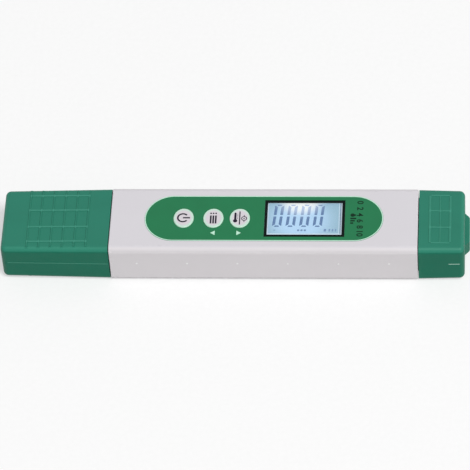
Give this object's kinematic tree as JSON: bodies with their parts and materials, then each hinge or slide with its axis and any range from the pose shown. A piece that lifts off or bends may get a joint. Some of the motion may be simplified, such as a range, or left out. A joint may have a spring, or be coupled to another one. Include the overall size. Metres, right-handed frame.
{
  "type": "water quality test pen",
  "caption": "Handheld pen for testing water: a flat white body with keys and a lit display, a green cap over its probe and a green cover over its button cells.",
  "frame": {"origin": "middle of the underside of the bounding box, under the back face that the pen lies on", "axes": "+X runs along the pen from the probe cap to the battery cover, +Z is out of the display, +Y is across the pen"},
  "size_m": [0.185, 0.0328, 0.0193],
  "materials": {
    "green_cap": "fine satin moulding grain",
    "white_shell": "fine satin moulding grain",
    "green_label": "smooth printed film with a pale edge",
    "clear_window": "clear polished window",
    "black_frame": "printed black border",
    "pale_key": "smooth satin key cap",
    "display_glass": "polarised display glass",
    "backlight": "frosted light guide",
    "elastomer": "striped elastomer",
    "carrier_plastic": "moulded",
    "board": "green solder mask",
    "screw_steel": "zinc plated",
    "chip_plastic": "moulded epoxy",
    "bright_can": "drawn can",
    "switch_plastic": "moulded",
    "probe_plastic": "satin moulding",
    "electrode_metal": "fine drawn",
    "seal_rubber": "smooth moulded",
    "holder_plastic": "satin moulding",
    "cell_steel": "nickel plated",
    "spring_metal": "nickel plated spring strip",
    "lead_cover": "soft wire cover"
  },
  "bodies": {
    "pen_body": {"front_shell": "white_shell", "back_shell": "white_shell", "face_label": "green_label", "display_lens": "clear_window", "window_frame": "black_frame", "lcd_glass": "display_glass", "lcd_backlight": "backlight", "front_zebra_strip": "elastomer", "rear_zebra_strip": "elastomer", "lcd_carrier": "carrier_plastic", "power_switch": "switch_plastic", "mode_switch": "switch_plastic", "cal_switch": "switch_plastic", "main_board": "board", "board_screws": "screw_steel", "controller_chip": "chip_plastic", "amplifier_chip": "chip_plastic", "timing_crystal": "bright_can", "probe_housing": "probe_plastic", "probe_guard": "probe_plastic", "cap_seal": "seal_rubber", "cover_seal": "seal_rubber", "left_electrode": "electrode_metal", "right_electrode": "electrode_metal", "temperature_sensor": "electrode_metal", "left_sensor_lead": "lead_cover", "right_sensor_lead": "lead_cover", "battery_holder": "holder_plastic", "left_cell_1": "cell_steel", "left_cell_2": "cell_steel", "right_cell_1": "cell_steel", "right_cell_2": "cell_steel", "left_terminal": "spring_metal", "right_terminal": "spring_metal"},
    "cap": {"protective_cap": "green_cap"},
    "cover": {"battery_cover": "green_cap", "cover_contact": "spring_metal"},
    "power_key": {"power_button": "pale_key", "power_plunger": "switch_plastic"},
    "mode_key": {"mode_button": "pale_key", "mode_plunger": "switch_plastic"},
    "cal_key": {"cal_button": "pale_key", "cal_plunger": "switch_plastic"}
  },
  "joints": [
    {"name": "cap_slide", "type": "slide", "parent": "pen_body", "child": "cap", "axis": [-1, 0, 0], "range_m": [0, 0.045]},
    {"name": "cover_slide", "type": "slide", "parent": "pen_body", "child": "cover", "axis": [1, 0, 0], "range_m": [0, 0.022]},
    {"name": "power_press", "type": "slide", "parent": "pen_body", "child": "power_key", "axis": [0, 0, -1], "range_m": [0, 0.0004], "stiffness_N_per_m": 800, "springref_m": -0.0006},
    {"name": "mode_press", "type": "slide", "parent": "pen_body", "child": "mode_key", "axis": [0, 0, -1], "range_m": [0, 0.0004], "stiffness_N_per_m": 800, "springref_m": -0.0006},
    {"name": "cal_press", "type": "slide", "parent": "pen_body", "child": "cal_key", "axis": [0, 0, -1], "range_m": [0, 0.0004], "stiffness_N_per_m": 800, "springref_m": -0.0006}
  ]
}
